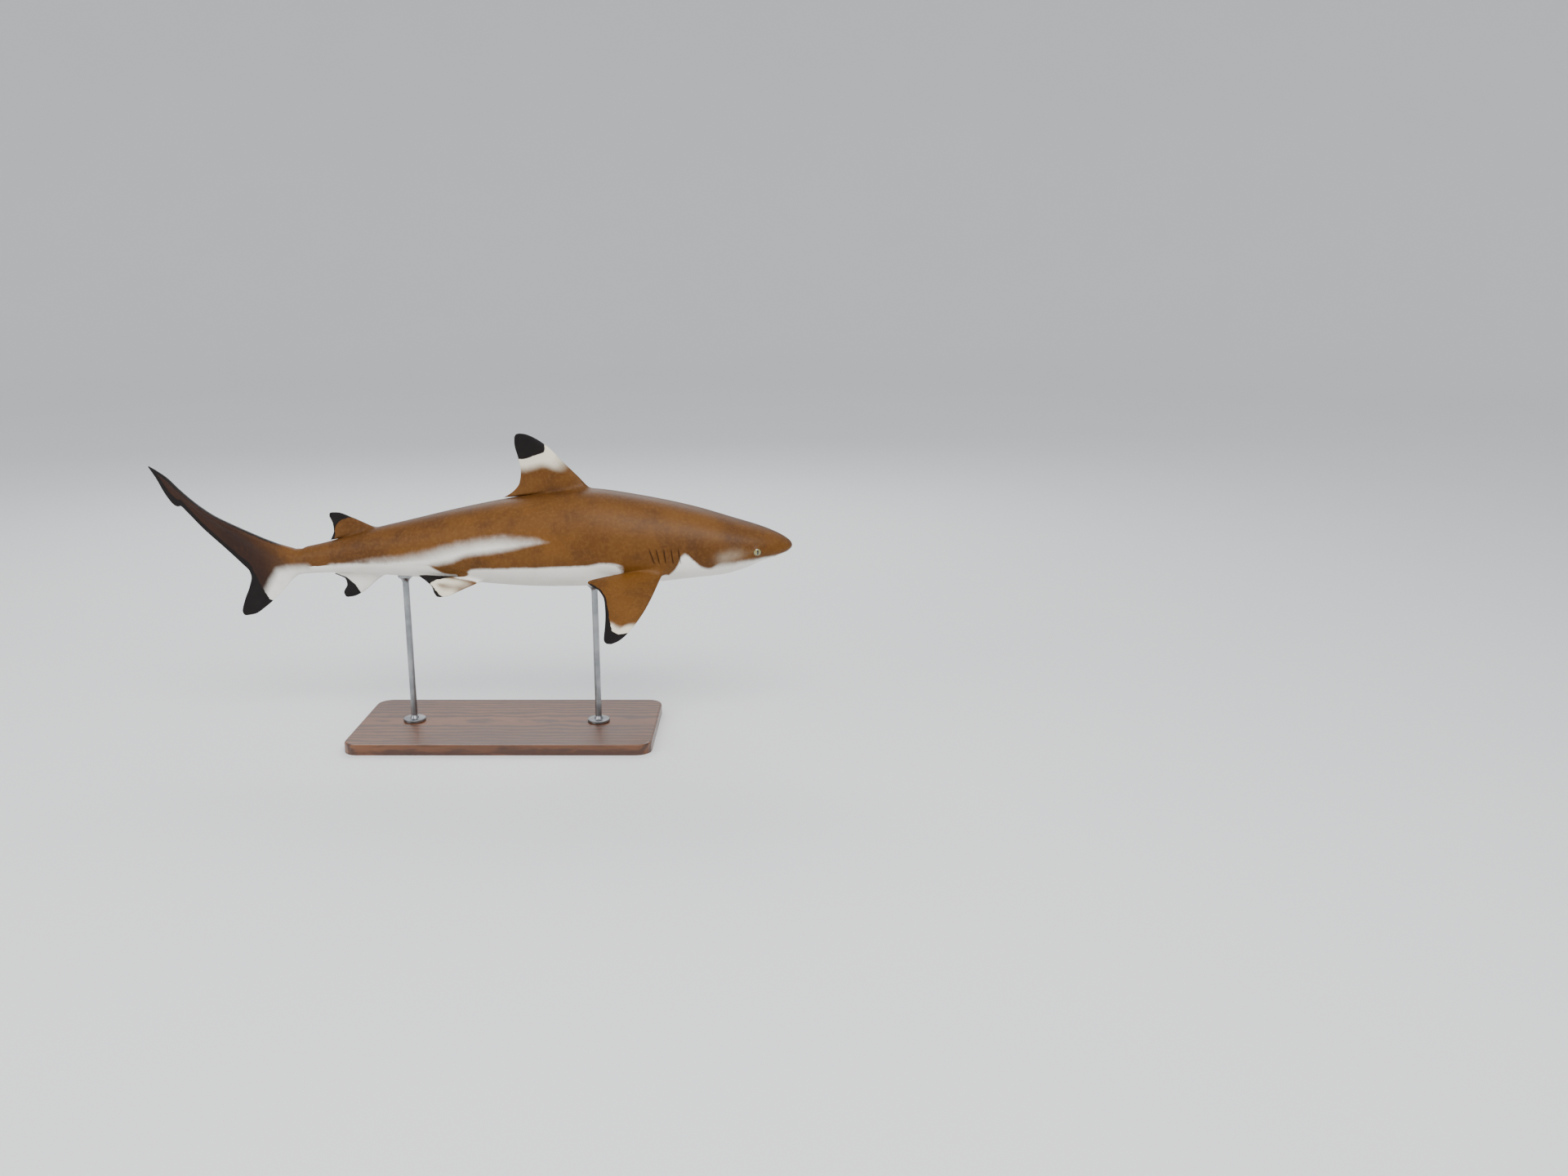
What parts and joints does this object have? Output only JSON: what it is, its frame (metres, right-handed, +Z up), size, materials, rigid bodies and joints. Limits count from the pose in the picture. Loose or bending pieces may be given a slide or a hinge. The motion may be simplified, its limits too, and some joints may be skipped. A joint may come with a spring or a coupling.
{
  "type": "blacktip reef shark display model",
  "caption": "Life-size blacktip reef shark, swimming level with pectoral fins spread, held over a flat base by short rods.",
  "frame": {"origin": "underside of the stand, below the middle of the model's length and width", "axes": "+X ahead, towards the snout; +Y to the fish's left; +Z up"},
  "size_m": [1.3056, 0.5054, 0.6268],
  "materials": {
    "skin": "satin skin, bronze brown above, white below",
    "fin_skin": "satin skin, brown with black tips",
    "jaw_skin": "satin skin, white",
    "eye": "glossy, pale green iris with an upright slit pupil",
    "stand_wood": "dark stained, satin",
    "stand_steel": "brushed"
  },
  "bodies": {
    "root": {"head": "skin", "lower_jaw": "jaw_skin", "eye_left": "eye", "eye_right": "eye", "gill_region": "skin", "trunk_front": "skin", "trunk_rear": "skin", "tail_stalk": "skin", "dorsal_fin_first": "fin_skin", "dorsal_fin_second": "fin_skin", "anal_fin": "fin_skin", "pectoral_fin_left": "fin_skin", "pectoral_fin_right": "fin_skin", "pelvic_fin_left": "fin_skin", "pelvic_fin_right": "fin_skin", "caudal_fin_upper": "fin_skin", "caudal_fin_lower": "fin_skin", "stand_base": "stand_wood", "stand_rod_front": "stand_steel", "stand_rod_rear": "stand_steel"}
  },
  "joints": []
}
